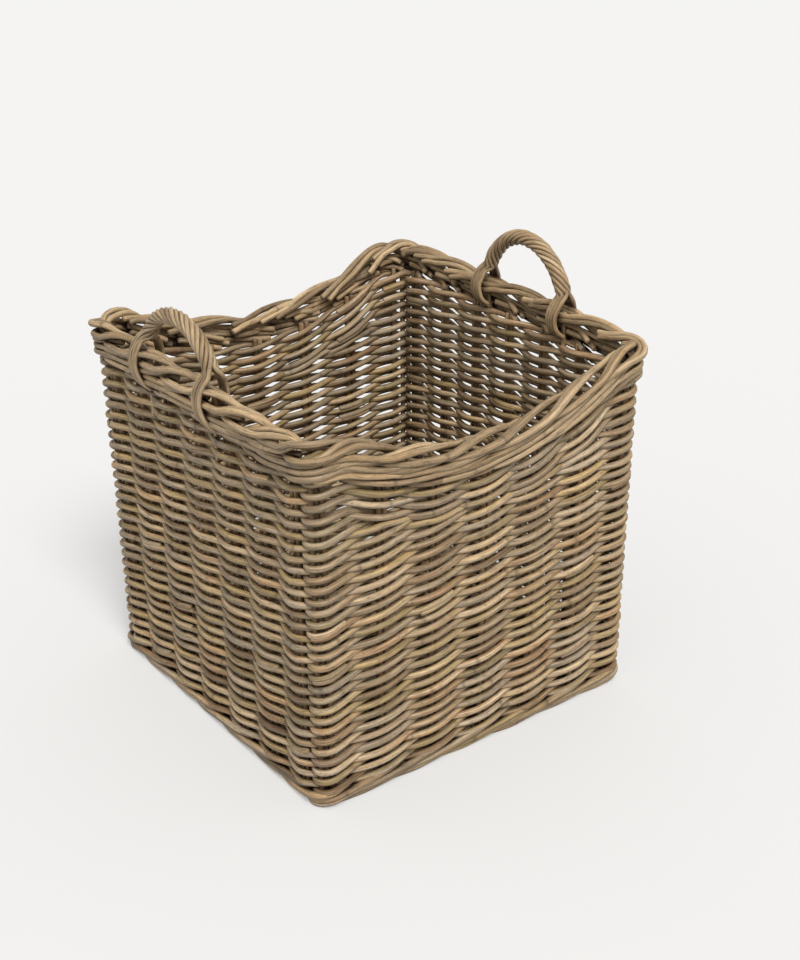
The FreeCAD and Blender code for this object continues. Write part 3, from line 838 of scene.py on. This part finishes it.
# ---------------------------------------------------------------- base
stick_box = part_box("base_sticks")
stick_z = (stick_box[0][2] + stick_box[1][2]) / 2
stick_r = (stick_box[1][2] - stick_box[0][2]) / 2
STICK_POINTS = 40
end_stick = stick_box[1][0] - 2 * stick_r
inner = [-STAKE_FRONT + k * STAKE_FRONT_STEP for k in range(STAKES_PER_WALL - 2)]
stick_places = [-end_stick, *inner, end_stick]
tubes = Tubes()
for place in stick_places:
    for side in (-1, 1):
        y = np.linspace(stick_box[0][1], stick_box[1][1], STICK_POINTS)
        x = place + side * stick_r + wander(STICK_POINTS, 12 * MM, 100 * MM, 0.3 * MM)
        lay_rod([(tubes, 0)], np.column_stack([x, y, np.full(STICK_POINTS, stick_z)]), stick_r * 0.98)
register("base_stick_pairs", tubes, stake_material, "base_sticks", "base_sticks")

upper_box, lower_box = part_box("base_weavers_upper"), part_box("base_weavers_lower")
base_r = (upper_box[1][2] - upper_box[0][2]) / 2
swing_z = (upper_box[0][2] + base_r - lower_box[0][2] - base_r) / 2
BASE_RODS = 53
BASE_POINTS = 90
pitch = (upper_box[1][1] - upper_box[0][1] - 2 * base_r) / (BASE_RODS - 1)
base_tubes = {"base_weavers_upper": Tubes(), "base_weavers_lower": Tubes()}
for number in range(BASE_RODS):
    x = np.linspace(upper_box[0][0], upper_box[1][0], BASE_POINTS)
    over = np.interp(x, stick_places, np.arange(len(stick_places)))
    sign = 1 if number % 2 == 0 else -1
    z = stick_z + sign * swing_z * np.cos(math.pi * over)
    y = upper_box[0][1] + base_r + number * pitch + wander(BASE_POINTS, 5 * MM, THICK_PERIOD, 0.35 * MM)
    name = "base_weavers_upper" if sign > 0 else "base_weavers_lower"
    lay_rod([(base_tubes[name], 0)], np.column_stack([x, y, z]), base_r * random.uniform(0.93, 1.03))
for name, tubes in base_tubes.items():
    register("woven_" + name, tubes, weaver_material, "base_weavers", name)

# ---------------------------------------------------------------- handles
ROPE_STRANDS = 8
ROPE_LAY = 88 * MM
ROPE_END = 24 * MM
ROPE_TURN = 0.4
ARC_POINTS = 600
LEG_POINTS = 12
STRAND_STEP = 2.5 * MM
TAIL_PITCH = 4.7
TAIL_RANKS = (-1.5, -0.5, 0.5, 1.5)
# A tail's way down from the rim on the outer and the inner face: outward, up and sideways, in millimetres.
OUTER_TAIL = [(9.5, 11, 3.5), (14.0, 3, 6.0), (18.0, -8, 8.5), (19.4, -20, 8.5), (18.8, -32, 5.5),
              (15.5, -42, 0.5), (8.5, -50, -5.0)]
INNER_TAIL = [(9.5, 11, 3.0), (13.5, 3, 5.0), (16.8, -7, 6.5), (17.0, -17, 6.0), (14.5, -27, 3.5),
              (7.0, -34, 0.5)]


def smooth_path(points, step):
    """A smooth curve through points, sampled about every step."""
    p = np.asarray(points, float)
    knots = np.concatenate([[0], np.cumsum(np.sqrt(np.linalg.norm(np.diff(p, axis=0), axis=1)))])
    length = np.linalg.norm(np.diff(p, axis=0), axis=1).sum()
    at = np.linspace(0, knots[-1], max(8, int(length / step)))
    keys = np.column_stack([knots, p])
    return np.column_stack(keyed(at, keys))


def tail_points(end, wall_x, foot_y, out_x, face, rank):
    """The points of one strand from the rope's end, over the border on one face, into the weave."""
    path = [end]
    for out, up, sideways in OUTER_TAIL if face > 0 else INNER_TAIL:
        sideways = sideways + rank * TAIL_PITCH + random.uniform(-0.6, 0.6)
        path.append((wall_x + out_x * face * out * MM, foot_y + sideways * MM, RIM_Z + up * MM))
    return path


for name, out_x in (("right", 1), ("left", -1)):
    rope_low, rope_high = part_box(f"handle_{name}_rope")
    rope_r = (rope_high[0] - rope_low[0]) / 2
    spring = rope_low[2]
    arch = (rope_high[1] - rope_low[1]) / 2 - rope_r
    rise = rope_high[2] - rope_r - spring
    centre_x = (rope_low[0] + rope_high[0]) / 2
    centre_y = (rope_low[1] + rope_high[1]) / 2
    start = math.asin(ROPE_END / rise)
    fine = np.linspace(start, math.pi - start, ARC_POINTS)
    fine_y, fine_z = arch * np.cos(fine), rise * np.sin(fine)
    fine_d = np.concatenate([[0], np.cumsum(np.hypot(np.diff(fine_y), np.diff(fine_z)))])
    count = int(fine_d[-1] / STRAND_STEP)
    d = np.linspace(0, fine_d[-1], count)
    swing = np.interp(d, fine_d, fine)
    core_y, core_z = centre_y + arch * np.cos(swing), spring + rise * np.sin(swing)
    core = np.column_stack([np.full(count, centre_x), core_y, core_z])
    tangent = np.gradient(core, axis=0)
    tangent /= np.linalg.norm(tangent, axis=1)[:, None]
    outward = np.array([out_x, 0.0, 0.0])
    radial = np.cross(outward, tangent) * -out_x
    rope, tails = Tubes(), {"a": Tubes(), "b": Tubes()}
    feet = {}
    for label in tails:
        low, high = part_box(f"lashing_{name}_{label}")
        feet[label] = (low[1] + high[1]) / 2
    ends = [min(feet, key=lambda label: abs(feet[label] - core[i][1])) for i in (0, -1)]
    lay_r = rope_r - STRAND_R + 0.1 * MM
    strands = []
    for strand in range(ROPE_STRANDS):
        turn = 2 * math.pi * (strand / ROPE_STRANDS + d / ROPE_LAY) + ROPE_TURN
        ring_r = lay_r * (1 + wander(count, STRAND_STEP, 50 * MM, 0.03))
        sideways = np.cos(turn)[:, None] * radial + np.sin(turn)[:, None] * outward
        strands.append(core + ring_r[:, None] * sideways)
    # at each foot, the four strands nearest each face of the wall go down that face
    routes = [[None, None] for _ in strands]
    for which, index in enumerate((0, -1)):
        order = sorted(range(ROPE_STRANDS), key=lambda k: strands[k][index][0] * out_x)
        for face, group in ((-1, order[:ROPE_STRANDS // 2]), (1, order[ROPE_STRANDS // 2:])):
            group.sort(key=lambda k: strands[k][index][1])
            for rank, k in zip(TAIL_RANKS, group):
                foot_y = feet[ends[which]]
                routes[k][which] = tail_points(strands[k][index], centre_x, foot_y, out_x, face, rank)
    for k, points in enumerate(strands):
        first = smooth_path([*routes[k][0][::-1], points[2]], STRAND_STEP)
        last = smooth_path([points[-3], *routes[k][1]], STRAND_STEP)
        whole = np.concatenate([first[:-1], points[2:-2], last[1:]])
        run = np.concatenate([[0], np.cumsum(np.linalg.norm(np.diff(whole, axis=0), axis=1))])
        cut_one, cut_two = run[len(first) + 1], run[len(first) + count - 7]
        size = STRAND_R * random.uniform(0.95, 1.05)
        lay_rod([(tails[ends[0]], cut_one), (rope, cut_two), (tails[ends[1]], 0)], whole,
                size * (1 + wander(len(whole), STRAND_STEP, WANDER_PERIOD, 0.03)), sides=12,
                knots=random.random() < 0.5)
    register(f"handle_{name}_twist", rope, handle_material, "handle_rods", f"handle_{name}_rope")
    for label, tubes in tails.items():
        register(f"tails_{name}_{label}", tubes, handle_material, "handle_rods", f"lashing_{name}_{label}")
    tubes = Tubes()
    low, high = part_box(f"handle_{name}_core")
    core_r = (high[0] - low[0]) / 2
    for end in (1, -1):
        leg = np.full((LEG_POINTS, 3), (centre_x, centre_y + end * arch, 0.0))
        leg[:, 2] = np.linspace(low[2], spring, LEG_POINTS)
        lay_rod([(tubes, 0)], leg, core_r)
    lay_rod([(tubes, 0)], core, core_r)
    register(f"handle_{name}_heart", tubes, handle_material, "handle_rods", f"handle_{name}_core")

# ---------------------------------------------------------------- make the pieces
# Every fourth piece is enough to find which share of the surface counts as hollow.
HOLLOW_SHARES = (42, 93)
origin, grid = crowding()
sample = np.concatenate([hollow_marks(tubes, origin, grid) for _, tubes, *_ in PIECES[::4]])
hollow_low, hollow_high = np.percentile(sample, HOLLOW_SHARES[0]), np.percentile(sample, HOLLOW_SHARES[1])
for piece in PIECES:
    build_piece(*piece, origin, grid, hollow_low, hollow_high)

# ---------------------------------------------------------------- floor, light, camera
# The floor glows faintly, apart from the square that the basket stands over, which is dark and does not glow: a
# painted shadow under the basket.
FLOOR = 20.0
SHADOW_SQUARE = 232 * MM
STUDIO_WHITE = (1.0, 0.995, 0.985, 1)
floor_mesh = bpy.data.meshes.new("floor")
corners = [(-1, -1), (1, -1), (1, 1), (-1, 1)]
floor_verts = [(x * half, y * half, 0) for half in (FLOOR, SHADOW_SQUARE) for x, y in corners]
floor_faces = [(0, 1, 5, 4), (1, 2, 6, 5), (2, 3, 7, 6), (3, 0, 4, 7), (4, 5, 6, 7)]
floor_mesh.from_pydata(floor_verts, [], floor_faces)
floor = bpy.data.objects.new("floor", floor_mesh)
bpy.context.scene.collection.objects.link(floor)
floor_material = bpy.data.materials.new("studio_floor")
floor_material.use_nodes = True
floor_shader = floor_material.node_tree.nodes["Principled BSDF"]
floor_shader.inputs["Base Color"].default_value = (0.53, 0.526, 0.518, 1)
floor_shader.inputs["Emission Color"].default_value = STUDIO_WHITE
floor_shader.inputs["Emission Strength"].default_value = 0.285
floor_shader.inputs["Roughness"].default_value = 1.0
floor_shader.inputs["Specular IOR Level"].default_value = 0.0
floor_mesh.materials.append(floor_material)
painted_shadow_material = bpy.data.materials.new("painted_shadow_under_basket")
painted_shadow_material.use_nodes = True
painted_shadow_shader = painted_shadow_material.node_tree.nodes["Principled BSDF"]
# painted shadow: dark floor colour under the basket
painted_shadow_shader.inputs["Base Color"].default_value = (0.20, 0.19, 0.17, 1)
painted_shadow_shader.inputs["Roughness"].default_value = 1.0
floor_mesh.materials.append(painted_shadow_material)
floor_mesh.polygons[4].material_index = 1

scene = bpy.context.scene
scene.view_settings.view_transform = "Standard"
world = bpy.data.worlds.new("studio")
scene.world = world
world.use_nodes = True
# a pale wall of light: as bright as the floor at the horizon, dimmer overhead
world_nodes, world_links = world.node_tree.nodes, world.node_tree.links
world_nodes["Background"].inputs[0].default_value = STUDIO_WHITE
direction = world_nodes.new("ShaderNodeTexCoord")
direction_parts = world_nodes.new("ShaderNodeSeparateXYZ")
world_links.new(direction.outputs["Generated"], direction_parts.inputs[0])
sky = world_nodes.new("ShaderNodeMapRange")
# upward parts 0 to 0.5 become strengths 0.90 to 0.54
SKY_RANGE = (0.0, 0.5, 0.90, 0.54)
for socket, number in zip(sky.inputs[1:5], SKY_RANGE):
    socket.default_value = number
world_links.new(direction_parts.outputs[2], sky.inputs[0])
world_links.new(sky.outputs[0], world_nodes["Background"].inputs[1])


def sun(name, azimuth, elevation, strength, softness):
    """A soft light from a direction: azimuth 0 comes from -Y, 90 from +X."""
    light = bpy.data.lights.new(name, "SUN")
    light.energy = strength
    light.angle = math.radians(softness)
    lamp = bpy.data.objects.new(name, light)
    lamp.rotation_euler = (math.radians(90 - elevation), 0, math.radians(azimuth))
    scene.collection.objects.link(lamp)


sun("key", -20, 52, 2.45, 24)

CAMERA_AZIMUTH = -36.317
CAMERA_ELEVATION = 26.545
CAMERA_ROLL = -0.543
CAMERA_PLACE = (-1.1230, -1.6038, 1.2477)
# Focal length in pixels of an 800 pixel wide frame, on a 36 mm sensor.
FOCAL_PIXELS = 1706.4
FRAME_WIDTH = 800
SENSOR = 36
camera_data = bpy.data.cameras.new("camera")
camera_data.sensor_fit = "HORIZONTAL"
camera_data.sensor_width = SENSOR
camera_data.lens = FOCAL_PIXELS * SENSOR / FRAME_WIDTH
camera = bpy.data.objects.new("camera", camera_data)
turn = Matrix.Rotation(math.radians(CAMERA_AZIMUTH), 4, "Z")
tilt = Matrix.Rotation(math.radians(90 - CAMERA_ELEVATION), 4, "X")
roll = Matrix.Rotation(math.radians(CAMERA_ROLL), 4, "Z")
camera.matrix_world = Matrix.Translation(CAMERA_PLACE) @ turn @ tilt @ roll
scene.collection.objects.link(camera)
scene.camera = camera
